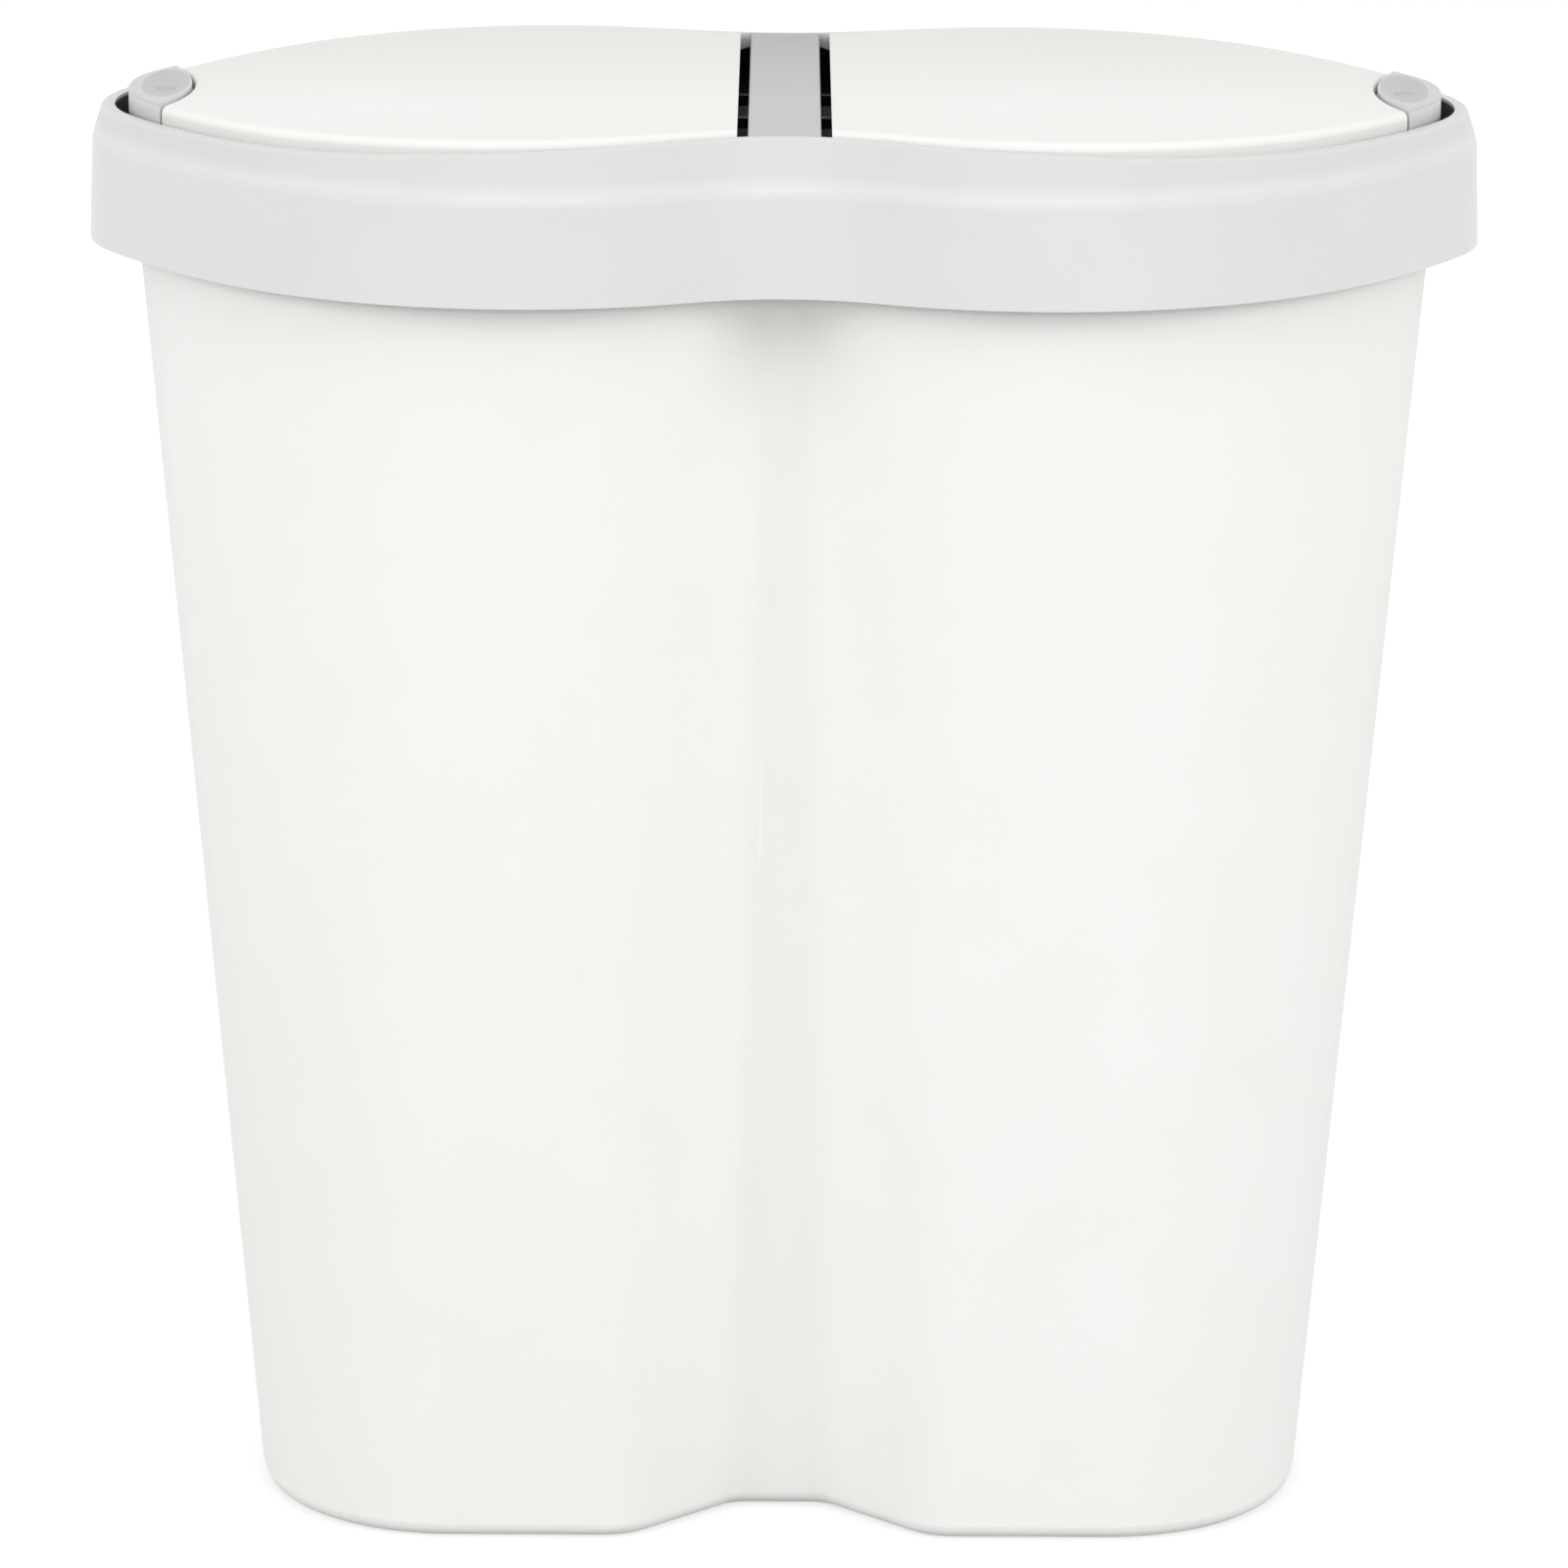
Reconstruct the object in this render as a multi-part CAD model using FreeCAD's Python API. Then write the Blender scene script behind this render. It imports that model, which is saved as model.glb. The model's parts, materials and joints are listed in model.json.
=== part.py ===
import FreeCAD, Part
import math
import os

# Double recycling bin: one twin-lobed tub with a drop-in divider, a lift-off rim frame with a
# central hinge bar, and two lids that open towards the bar when the button at their far end is
# pressed. Millimetres, +X to the right, +Y to the back, +Z up, origin on the floor at the centre.

V = FreeCAD.Vector

# Overall size
LENGTH = 530.0              # over the rim's skirt, end to end
TOP_Z = 556.0               # highest point of the closed lids
SKIRT_H = 58.8              # rim's skirt from its lower edge to the crest
TUB_DROP = 26.0             # top of the tub's flange below the lids' top

# Plan outline of the skirt: waist arc, lobe arc, flank arc, nose arc
LOBE_R = 160.0
LOBE_IN = 167.0             # lobe's centre inside the end of the skirt
HALF_DEPTH = 140.0
WAIST_R = 84.5
FLANK_FROM = 45.0           # degrees round the lobe where the flank starts
NOSE_FROM = 60.0            # degrees where the nose starts

# Rim frame
RIM_WALL = 2.3
SHOULDER_W = 9.0            # width and height of the sloping shoulder
SHOULDER_H = 19.8
RIDGE_R = 14.0              # rounding between the skirt and the shoulder
CREST_LAND = 2.6            # width of the crest at the centre
SKIRT_LEAN = 1.5            # the skirt leans in by this much up to the shoulder
CREST_DROP = 1.2            # crest below the lids' top at the centre
CREST_DIP = 8.0             # crest dips towards both ends
CREST_R = 1.8
CREST_STEPS = 6             # points on each half of the crest's curve
SEAT_GAP = 0.3              # parts that rest on each other
OPENING_OUT = 0.3           # the rim's opening lies outside the crest's inner edge by this
SKIRT_MOUTH_H = 4.0         # upright mouth inside the skirt's foot

# Tub
TUB_WALL = 2.4
TUB_FLOOR = 3.0
TUB_TOP_INSET = 15.7        # tub wall at its top, inside the skirt outline
FLANGE_INSET = 4.7          # flange edge inside the skirt outline
FLANGE_T = 2.5
VALLEY_TOP_R = 10.0
FOOT_R = 6.0                # rounding of the foot
BASE_IN_X = 59.5            # foot inside the skirt's outline at the end
BASE_IN_Y = 45.0            # and at the lobes' fronts
BASE_CORNER_R = 75.0
BASE_END_R = 150.0
BASE_VALLEY_IN = 36.5       # depth of the valley in the foot
BASE_VALLEY_HALF = 17.0     # half width of the valley floor
BASE_VALLEY_SLOPE = 42.0    # degrees
BASE_VALLEY_R = 12.0
BASE_LOBE_R = 26.0
WAIST_SPLIT = 0.2           # where the tub's top outline is cut to meet the foot's spans
LOBE_SPLITS = (0.35, 0.7)
FRONT_SPLIT = 0.4
CORNER_SPLIT = 0.6

# Divider
DIVIDER_T = 3.0
GUIDE_T = 2.5
GUIDE_DEPTH = 9.0
GUIDE_CLEAR = 0.4
DIVIDER_TOP_GAP = 14.0      # below the tub's top
GRIP_W = 90.0
GRIP_H = 26.0
GRIP_R = 11.7

# Hinge bar
BAR_W = 27.0
BAR_WALL = 2.2
BAR_H = 15.0
BAR_SHELF_L = 18.0
BAR_SHELF_T = 3.0
BAR_SHELF_W = 22.0
BOSS_R = 4.0
BOSS_SHORT = 1.0            # boss stops below the bar's top by this
BAR_EDGE_R = 1.2
BAR_SHELF_LAP = 1.0         # shelf runs into the rim's wall
SCREW_R = 1.75
SCREW_CLEAR = 0.3
SCREW_SLOT_HALF_L = 2.0
SCREW_SLOT_HALF_W = 0.4
SCREW_SLOT_DEPTH = 1.0
SCREW_HEAD_R = 3.4
SCREW_HEAD_T = 2.2
SCREW_L = 12.0
SCREW_FROM_END = 9.0
EAR_T = 5.0
EAR_R = 4.2
EAR_POST_W = 4.4
EAR_ARM_T = 4.0
EAR_ARM_DROP = 15.0         # underside of the arm below the hinge axis
EAR_PLACES = (-72.0, -24.0, 24.0, 72.0)

# Lids
SLOT_W = 4.0                # open slot between bar and lid
LID_GAP = 5.0               # dark gap between lid and rim
LID_T = 2.5
LID_EDGE_H = 12.0
LID_HINGE_EDGE_H = 4.0
LID_EDGE_R = 3.0
LID_CROWN_R = 7000.0
HINGE_IN = 7.0              # hinge axis inside the lid's hinge edge
HINGE_DOWN = 8.0            # hinge axis below the lid's top
ROD_R = 2.0
RUN_CLEAR = 0.08            # running fit of a pin in its hole
KNUCKLE_R = 4.4
KNUCKLE_L = 14.0
KNUCKLE_GAP = 0.5
KNUCKLE_ROOM = 2.0          # room behind the knuckles
KNUCKLE_WEB_IN = 1.0        # web that carries a knuckle, in front of the axis
ROD_PAST_EAR = 4.0          # rod beyond the outer ears
RIB_T = 1.8
RIB_H = 6.0
RIB_PLACES = (-60.0, 0.0, 60.0)
RIB_FROM_HINGE = 14.0
RIB_FROM_KEEPER = 8.0

# Release buttons
NOTCH_TIP_IN = 40.5         # notch tip inside the end of the skirt
NOTCH_R = 94.0
NOTCH_EDGE_R = 1.2
BUTTON_GAP = 1.2
BUTTON_WALL = 1.8
BUTTON_H = 10.2
BUTTON_EDGE_R = 1.2
BUTTON_DROP = 2.4           # button's crown below the lids' top
BUTTON_SINK = 2.2           # depth of the dished press face
DISH_HALF_W = 9.0           # eye-shaped outline of the dish
DISH_HALF_L = 29.0
DISH_IN = 4.5               # middle of the dish inside the pin
PIN_R = 1.5
PIN_IN = 25.0               # pin inside the end of the skirt
PIN_DROP = 11.0             # pin axis below the lids' top
BUTTON_RIB_Y = 24.0
BUTTON_RIB_T = 2.0
BUTTON_RIB_IN = 5.0         # rib inside and outside the pin, below it and under the face
BUTTON_RIB_OUT = 3.5
BUTTON_RIB_DOWN = 2.6
BUTTON_RIB_UNDER = 3.0
LUG_EAR_T = 3.0
LUG_EAR_R = 2.6
LUG_EAR_SPREAD = 1.4        # the ear's foot is wider than its head by this on each side
LUG_EAR_GAP = 0.4
LUG_T = 2.5
LUG_HALF_W = 38.0
HOOK_IN = 14.5              # hook inside the pin
HOOK_T = 3.0
HOOK_HALF_W = 7.0
HOOK_NOSE = 2.3
HOOK_NOSE_T = 2.5
ARM_LAP = 0.6               # hook's arm runs into the cap by this
KEEPER_T = 3.0
KEEPER_IN = 11.0            # keeper inside the hook
KEEPER_LEDGE_IN = 3.0
LATCH_GAP = 0.5
KEEPER_LEDGE_T = 2.5
KEEPER_FOOT_IN = 4.0
KEEPER_FOOT_SIDE = 3.0
KEEPER_FOOT_T = 2.0
HOOK_DROP = 14.5            # underside of the hook's nose below the pin
COIL_R = 3.0
COIL_WIRE_R = 0.4
COIL_TURNS = 5.0
COIL_GAP = 0.5              # between the coil and the pin

# Lid springs and buffers
LID_SPRING_R = 3.2
LID_SPRING_WIRE_R = 0.5
LID_SPRING_PITCH = 1.3
LID_SPRING_TURNS = 6.0
BUFFER_R = 2.4
BUFFER_T = 3.0
REST_HALF_W = 6.0           # bracket in the rim that carries a buffer
REST_IN = 8.0

HALF_LENGTH = LENGTH / 2.0
CREST_Z = TOP_Z - CREST_DROP
SHOULDER_Z = CREST_Z - SHOULDER_H
SKIRT_Z = CREST_Z - SKIRT_H
TUB_TOP_Z = TOP_Z - TUB_DROP
LOBE_X = HALF_LENGTH - LOBE_IN
WAIST_Y = HALF_DEPTH - LOBE_R + math.sqrt((LOBE_R + WAIST_R) ** 2 - LOBE_X ** 2)
HALF_WAIST = WAIST_Y - WAIST_R
BASE_HALF_LENGTH = HALF_LENGTH - BASE_IN_X
BASE_HALF_DEPTH = HALF_DEPTH - BASE_IN_Y
BASE_VALLEY_Y = BASE_HALF_DEPTH - BASE_VALLEY_IN
CREST_INSET = SKIRT_LEAN + SHOULDER_W
LID_INSET = CREST_INSET + LID_GAP
BAR_HALF = BAR_W / 2.0
LID_INNER_X = BAR_HALF + SLOT_W
HINGE_X = LID_INNER_X + HINGE_IN
HINGE_Z = TOP_Z - HINGE_DOWN
BAR_END_Y = HALF_WAIST - CREST_INSET
NOTCH_TIP_X = HALF_LENGTH - NOTCH_TIP_IN
PIN_X = HALF_LENGTH - PIN_IN
PIN_Z = TOP_Z - PIN_DROP
HOOK_X = PIN_X - HOOK_IN
HOOK_Z = PIN_Z - HOOK_DROP
KEEPER_X = HOOK_X - KEEPER_IN
KEEPER_LEDGE_X = HOOK_X - KEEPER_LEDGE_IN
COIL_X = PIN_X - PIN_R - COIL_GAP - COIL_WIRE_R - COIL_R
LUG_IN_X = COIL_X - COIL_R - 2.0 * COIL_WIRE_R
BUTTON_TOP_Z = TOP_Z - BUTTON_DROP
BUTTON_BOTTOM_Z = BUTTON_TOP_Z - BUTTON_H
LUG_TOP_Z = TUB_TOP_Z + SEAT_GAP + LUG_T
REST_Z = TOP_Z - LID_EDGE_H - SEAT_GAP - BUFFER_T
BOX = 1000.0                # larger than the bin, for cutting
OVER = 1.0                  # cutters run past a face by this
LAP = 0.5                   # fused pieces run into each other by this
OPENING_INSET = CREST_INSET - OPENING_OUT
STRAIGHT = 0.001            # an arc flatter than this is a line


# ---- outlines -------------------------------------------------------------------------------

def turn(angle):
    """Unit vector at an angle from +Y towards +X."""
    a = math.radians(angle)
    return V(math.sin(a), math.cos(a), 0)


def rim_arcs(inset, waist_r=None):
    """One quarter of the skirt outline, moved in by inset: (centre, radius, from, to) per arc."""
    lobe = V(LOBE_X, HALF_DEPTH - LOBE_R, 0)
    lobe_r = LOBE_R - inset
    valley_r = WAIST_R + inset if waist_r is None else waist_r
    waist_y = lobe.y + math.sqrt((lobe_r + valley_r) ** 2 - LOBE_X ** 2)
    start = -math.degrees(math.asin(LOBE_X / (lobe_r + valley_r)))

    corner = lobe + turn(FLANK_FROM) * LOBE_R
    flank = turn(NOSE_FROM) - turn(FLANK_FROM)
    nose = V(1, 0, 0) - turn(NOSE_FROM)
    det = flank.x * nose.y - flank.y * nose.x
    dx = HALF_LENGTH - corner.x
    dy = -corner.y
    flank_r = (dx * nose.y - dy * nose.x) / det
    nose_r = (flank.x * dy - flank.y * dx) / det
    flank_c = corner - turn(FLANK_FROM) * flank_r
    nose_c = V(HALF_LENGTH - nose_r, 0, 0)
    return [
        (V(0, waist_y, 0), -valley_r, start, 0.0),
        (lobe, lobe_r, start, FLANK_FROM),
        (flank_c, flank_r - inset, FLANK_FROM, NOSE_FROM),
        (nose_c, nose_r - inset, NOSE_FROM, 90.0),
    ]


def point_on(arc, angle):
    return arc[0] + turn(angle) * arc[1]


def rim_quarter(inset, waist_r=None):
    """Quarter outline as (start, middle, end) points, from the waist to the nose."""
    waist, lobe, flank, nose = rim_arcs(inset, waist_r)
    middle = (waist[3] + waist[2]) / 2.0
    spans = [(point_on(waist, 0.0), point_on(waist, middle), point_on(waist, waist[2]))]
    for arc in (lobe, flank, nose):
        middle = (arc[2] + arc[3]) / 2.0
        spans.append((point_on(arc, arc[2]), point_on(arc, middle), point_on(arc, arc[3])))
    return spans


def full_loop(quarter, z):
    """Mirrors a quarter outline into a closed wire at height z."""
    def flip(p, sx, sy):
        return V(p.x * sx, p.y * sy, z)

    edges = []
    for sx, sy in ((1, 1), (1, -1), (-1, -1), (-1, 1)):
        spans = quarter if sx * sy > 0 else [tuple(reversed(s)) for s in reversed(quarter)]
        for start, mid, end in spans:
            a = flip(start, sx, sy)
            b = flip(end, sx, sy)
            bow = mid is not None and (mid - (start + end) * 0.5).Length
            if bow and bow > STRAIGHT:
                edges.append(Part.Arc(a, flip(mid, sx, sy), b).toShape())
            else:
                edges.append(Part.LineSegment(a, b).toShape())
    return Part.Wire(edges)


def rim_loop(inset, z):
    return full_loop(rim_quarter(inset), z)


def prism(wire, height):
    return Part.Face(wire).extrude(V(0, 0, height))


def tub_top_quarter(inset):
    """Top of the tub: the rim outline with a tighter valley, cut into the foot's number of spans."""
    waist, lobe, flank, nose = rim_arcs(TUB_TOP_INSET + inset, VALLEY_TOP_R + inset)

    def span(arc, a, b):
        return (point_on(arc, a), point_on(arc, (a + b) / 2.0), point_on(arc, b))

    start = lobe[2]
    first, second = [start - start * share for share in LOBE_SPLITS]
    return [
        span(waist, 0.0, start * WAIST_SPLIT),
        span(waist, start * WAIST_SPLIT, start),
        span(lobe, start, first),
        span(lobe, first, second),
        span(lobe, second, FLANK_FROM * FRONT_SPLIT),
        span(lobe, FLANK_FROM * FRONT_SPLIT, FLANK_FROM),
        span(flank, FLANK_FROM, NOSE_FROM),
        span(nose, NOSE_FROM, 90.0),
    ]


def tub_foot_quarter(inset):
    """Foot of the tub: flat valley floor, sloping sides, flat lobe fronts and rounded ends."""
    slope = turn(90.0 - BASE_VALLEY_SLOPE)
    half = math.radians(BASE_VALLEY_SLOPE / 2.0)
    rise = BASE_HALF_DEPTH - BASE_VALLEY_Y
    run = rise / math.tan(math.radians(BASE_VALLEY_SLOPE))
    low = V(BASE_VALLEY_HALF, BASE_VALLEY_Y, 0)
    high = low + V(run, rise, 0)
    low_t = BASE_VALLEY_R * math.tan(half)
    high_t = BASE_LOBE_R * math.tan(half)

    end_c = V(BASE_HALF_LENGTH - BASE_END_R, 0, 0)
    corner_y = BASE_HALF_DEPTH - BASE_CORNER_R
    away = math.sqrt((BASE_END_R - BASE_CORNER_R) ** 2 - corner_y ** 2)
    corner_c = V(end_c.x + away, corner_y, 0)
    corner_to = 90.0 - math.degrees(math.atan2(corner_y, away))
    low_c = V(low.x - low_t, low.y + BASE_VALLEY_R, 0)
    high_c = V(high.x + high_t, high.y - BASE_LOBE_R, 0)
    valley_r = BASE_VALLEY_R + inset
    lobe_r = BASE_LOBE_R - inset
    corner = (corner_c, BASE_CORNER_R - inset)
    end = (end_c, BASE_END_R - inset)

    def span(arc, a, b):
        return (point_on(arc, a), point_on(arc, (a + b) / 2.0), point_on(arc, b))

    low_arc = (low_c, -valley_r)
    high_arc = (high_c, lobe_r)
    bend = -BASE_VALLEY_SLOPE
    valley_floor = (V(0, low.y - inset, 0), None, point_on(low_arc, 0.0))
    side = (point_on(low_arc, bend), None, point_on(high_arc, bend))
    front = (point_on(high_arc, 0.0), None, point_on(corner, 0.0))
    split = corner_to * CORNER_SPLIT
    return [
        valley_floor,
        span(low_arc, 0.0, bend),
        side,
        span(high_arc, bend, 0.0),
        front,
        span(corner, 0.0, split),
        span(corner, split, corner_to),
        span(end, corner_to, 90.0),
    ]


def tub_loop(share, inset, z):
    """Section of the tub a share of the way up from the floor to its top."""
    foot = tub_foot_quarter(inset)
    top = tub_top_quarter(inset)
    quarter = []
    for low, high in zip(foot, top):
        ends = [low[i] * (1.0 - share) + high[i] * share for i in (0, 2)]
        low_mid = low[1] if low[1] is not None else (low[0] + low[2]) * 0.5
        middle = low_mid * (1.0 - share) + high[1] * share
        quarter.append((ends[0], middle, ends[1]))
    return full_loop(quarter, z)


def crest_z(x):
    """Height of the rim's crest above an X: it dips towards both ends."""
    return CREST_Z - CREST_DIP * (0.5 - 0.5 * math.cos(math.pi * x / HALF_LENGTH))


# ---- helpers --------------------------------------------------------------------------------

def block(x0, x1, y0, y1, z0, z1):
    return Part.makeBox(x1 - x0, y1 - y0, z1 - z0, V(x0, y0, z0))


def rod_y(x, z, radius, y0, y1):
    return Part.makeCylinder(radius, y1 - y0, V(x, y0, z), V(0, 1, 0))


def xz_prism(points, y0, y1):
    wire = Part.makePolygon([V(x, y0, z) for x, z in points + points[:1]])
    return Part.Face(wire).extrude(V(0, y1 - y0, 0))


def fuse(shapes):
    return shapes[0].multiFuse(shapes[1:]).removeSplitter()


def mirrored(shape):
    return shape.mirror(V(0, 0, 0), V(1, 0, 0))


def edges_near_z(shape, z, tolerance=0.01):
    """Edges that lie wholly at one height."""
    found = []
    for edge in shape.Edges:
        box = edge.BoundBox
        if abs(box.ZMin - z) < tolerance and abs(box.ZMax - z) < tolerance:
            found.append(edge)
    return found


# ---- tub and divider ------------------------------------------------------------------------

def make_tub():
    outer = Part.makeLoft([tub_loop(0.0, 0.0, 0.0), tub_loop(1.0, 0.0, TUB_TOP_Z)], True, True)
    outer = outer.makeFillet(FOOT_R, edges_near_z(outer, 0.0))
    inner = Part.makeLoft(
        [tub_loop(TUB_FLOOR / TUB_TOP_Z, TUB_WALL, TUB_FLOOR), tub_loop(1.0, TUB_WALL, TUB_TOP_Z)],
        True, True)
    flange = prism(rim_loop(FLANGE_INSET, TUB_TOP_Z - FLANGE_T), FLANGE_T)
    mouth = prism(tub_loop(1.0, TUB_WALL / 2.0, TUB_TOP_Z - FLANGE_T), FLANGE_T)
    shell = outer.cut(inner)
    tub = shell.fuse(flange.cut(mouth)).cut(inner)
    return tub.removeSplitter()


def inner_valley_y(z):
    """Half depth of the tub's inside at the centre, at height z."""
    top = tub_top_quarter(TUB_WALL)[0][0].y
    foot = tub_foot_quarter(TUB_WALL)[0][0].y
    return foot + (top - foot) * z / TUB_TOP_Z


def divider_outline(gap, z0, z1):
    y0 = inner_valley_y(z0) - gap
    y1 = inner_valley_y(z1) - gap
    return [V(0, -y0, z0), V(0, y0, z0), V(0, y1, z1), V(0, -y1, z1), V(0, -y0, z0)]


def make_divider():
    z0 = TUB_FLOOR + SEAT_GAP
    z1 = TUB_TOP_Z - DIVIDER_TOP_GAP
    face = Part.Face(Part.makePolygon(divider_outline(GUIDE_CLEAR, z0, z1)))
    panel = face.extrude(V(DIVIDER_T, 0, 0)).translated(V(-DIVIDER_T / 2.0, 0, 0))
    grip = block(-BOX, BOX, -GRIP_W / 2.0, GRIP_W / 2.0, z1 - 2.0 * GRIP_H, z1 - GRIP_H)
    grip_edges = [e for e in grip.Edges if e.BoundBox.XLength > BOX]
    grip = grip.makeFillet(GRIP_R, grip_edges)
    return panel.cut(grip)


def make_guides():
    """Rails inside the tub's two valleys that hold the divider's edges."""
    z0 = TUB_FLOOR
    z1 = TUB_TOP_Z - DIVIDER_TOP_GAP
    rails = []
    near = DIVIDER_T / 2.0 + GUIDE_CLEAR
    for side in (-1, 1):
        for face in (-1, 1):
            y0 = inner_valley_y(z0)
            y1 = inner_valley_y(z1)
            x = near if side > 0 else -near - GUIDE_T
            points = [
                V(x, face * (y0 - GUIDE_DEPTH), z0),
                V(x, face * (y0 + TUB_WALL / 2.0), z0),
                V(x, face * (y1 + TUB_WALL / 2.0), z1),
                V(x, face * (y1 - GUIDE_DEPTH), z1),
            ]
            wire = Part.makePolygon(points + points[:1])
            rails.append(Part.Face(wire).extrude(V(GUIDE_T, 0, 0)))
    return rails


# ---- rim frame ------------------------------------------------------------------------------

def under_crest(drop):
    """Everything below the crest's surface, which dips towards both ends and is level across."""
    ends = BOX / 2.0
    points = [V(-ends, -ends, crest_z(HALF_LENGTH) - drop)]
    for step in range(-CREST_STEPS, CREST_STEPS + 1):
        x = HALF_LENGTH * step / CREST_STEPS
        points.append(V(x, -ends, crest_z(x) - drop))
    points.append(V(ends, -ends, crest_z(HALF_LENGTH) - drop))
    curve = Part.BSplineCurve()
    curve.interpolate(points[1:-1], InitialTangent=V(1, 0, 0), FinalTangent=V(1, 0, 0))
    low = [V(ends, -ends, 0), V(-ends, -ends, 0)]
    edges = [
        Part.LineSegment(points[0], points[1]).toShape(),
        curve.toShape(),
        Part.LineSegment(points[-2], points[-1]).toShape(),
        Part.LineSegment(points[-1], low[0]).toShape(),
        Part.LineSegment(low[0], low[1]).toShape(),
        Part.LineSegment(low[1], points[0]).toShape(),
    ]
    return Part.Face(Part.Wire(edges)).extrude(V(0, BOX, 0))


def rim_body(wall, ridge_r=0.0):
    """Solid inside the rim's outer surface: a near upright skirt and a shoulder that slopes in."""
    crest_in = CREST_INSET - CREST_LAND
    slope = (crest_in - SKIRT_LEAN) / SHOULDER_H
    loops = [
        rim_loop(wall, SKIRT_Z),
        rim_loop(SKIRT_LEAN + wall, SHOULDER_Z),
        rim_loop(crest_in + RIM_WALL * slope + wall, CREST_Z + RIM_WALL),
    ]
    body = Part.makeLoft(loops, True, True)
    if ridge_r:
        body = body.makeFillet(ridge_r, edges_near_z(body, SHOULDER_Z))
    return body.common(under_crest(wall))


def make_rim_frame():
    outer = rim_body(0.0, RIDGE_R)
    crest_edges = [e for e in outer.Edges if e.BoundBox.ZMin > CREST_Z - CREST_DIP - OVER]
    outer = outer.makeFillet(CREST_R, crest_edges)
    hollow = rim_body(RIM_WALL)
    seat_z = TUB_TOP_Z + SEAT_GAP
    below = SKIRT_Z - RIM_WALL
    opening = prism(rim_loop(OPENING_INSET, below), BOX)
    inner_wall = prism(rim_loop(CREST_INSET - RIM_WALL, seat_z), BOX)
    skirt_room = prism(rim_loop(RIM_WALL, below), RIM_WALL + SKIRT_MOUTH_H)
    ring = outer.cut(opening).cut(hollow.fuse(skirt_room).cut(inner_wall))
    shelves = [ring]
    for side in (-1, 1):
        y_far = side * (BAR_END_Y + RIM_WALL / 2.0 + BAR_SHELF_LAP)
        y_near = side * (BAR_END_Y - BAR_SHELF_L)
        low = min(y_far, y_near)
        high = max(y_far, y_near)
        z = CREST_Z - BAR_H - SEAT_GAP
        shelf = block(-BAR_SHELF_W / 2.0, BAR_SHELF_W / 2.0, low, high, z - BAR_SHELF_T, z)
        hole_y = side * (BAR_END_Y - SCREW_FROM_END)
        hole_z = z - BAR_SHELF_T - OVER
        shelf = shelf.cut(Part.makeCylinder(SCREW_R + SCREW_CLEAR, BAR_H, V(0, hole_y, hole_z)))
        shelves.append(shelf)
    lug = make_button_lug()
    shelves += [lug, mirrored(lug)]
    return fuse(shelves + make_lid_rests())


def make_lid_rests():
    """Brackets on the rim's inner wall under the lids' edges."""
    z0 = TUB_TOP_Z + SEAT_GAP
    outer_y = HALF_DEPTH - CREST_INSET + RIM_WALL / 2.0
    inner_y = HALF_DEPTH - CREST_INSET - REST_IN
    rests = []
    for x in (-LOBE_X, LOBE_X):
        for side in (-1, 1):
            low = min(side * outer_y, side * inner_y)
            high = max(side * outer_y, side * inner_y)
            rests.append(block(x - REST_HALF_W, x + REST_HALF_W, low, high, z0, REST_Z))
    return rests


def make_button_lug():
    """Bracket inside the rim's right end: a plate with two ears for the button's pin."""
    reach = prism(rim_loop(CREST_INSET - RIM_WALL / 2.0, TUB_TOP_Z + SEAT_GAP), LUG_T)
    plate = reach.common(block(LUG_IN_X, BOX, -LUG_HALF_W, LUG_HALF_W, 0, BOX))
    pieces = [plate]
    ear_out = BUTTON_RIB_Y - BUTTON_RIB_T / 2.0 - LUG_EAR_GAP
    for side in (-1, 1):
        y0 = side * ear_out if side < 0 else ear_out - LUG_EAR_T
        foot_z = LUG_TOP_Z - LUG_T / 2.0
        foot_half = LUG_EAR_R + LUG_EAR_SPREAD
        foot = xz_prism([
            (PIN_X - foot_half, foot_z), (PIN_X + foot_half, foot_z),
            (PIN_X + LUG_EAR_R, PIN_Z), (PIN_X - LUG_EAR_R, PIN_Z)], y0, y0 + LUG_EAR_T)
        pieces += [foot, rod_y(PIN_X, PIN_Z, LUG_EAR_R, y0, y0 + LUG_EAR_T)]
    lug = fuse(pieces)
    return lug.cut(rod_y(PIN_X, PIN_Z, PIN_R + RUN_CLEAR, -BOX, BOX))


# ---- hinge bar ------------------------------------------------------------------------------

def bar_plan(inset, z, height):
    """Plan of the bar: straight sides and ends that follow the rim's waist."""
    reach = prism(rim_loop(OPENING_INSET + SEAT_GAP + inset, z), height)
    half = BAR_HALF - inset
    return reach.common(block(-half, half, -BOX, BOX, z, z + height))


def make_hinge_bar():
    z0 = CREST_Z - BAR_H
    bar = bar_plan(0.0, z0, BAR_H)
    rim_edges = [e for e in edges_near_z(bar, CREST_Z) if e.BoundBox.YLength > BAR_W]
    bar = bar.makeFillet(BAR_EDGE_R, rim_edges)
    bar = bar.cut(bar_plan(BAR_WALL, z0 - OVER, BAR_H - BAR_WALL + OVER))
    pieces = [bar]
    for side in (-1, 1):
        y = side * (BAR_END_Y - SCREW_FROM_END)
        pieces.append(Part.makeCylinder(BOSS_R, BAR_H - BOSS_SHORT, V(0, y, z0)))
    for y in EAR_PLACES:
        pieces += make_ear(y)
    bar = fuse(pieces)
    for side in (-1, 1):
        y = side * (BAR_END_Y - SCREW_FROM_END)
        bar = bar.cut(Part.makeCylinder(SCREW_R, SCREW_L - BAR_SHELF_T + OVER, V(0, y, z0 - OVER)))
    for side in (-1, 1):
        bar = bar.cut(rod_y(side * HINGE_X, HINGE_Z, ROD_R + RUN_CLEAR, -BOX, BOX))
    return bar


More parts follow.
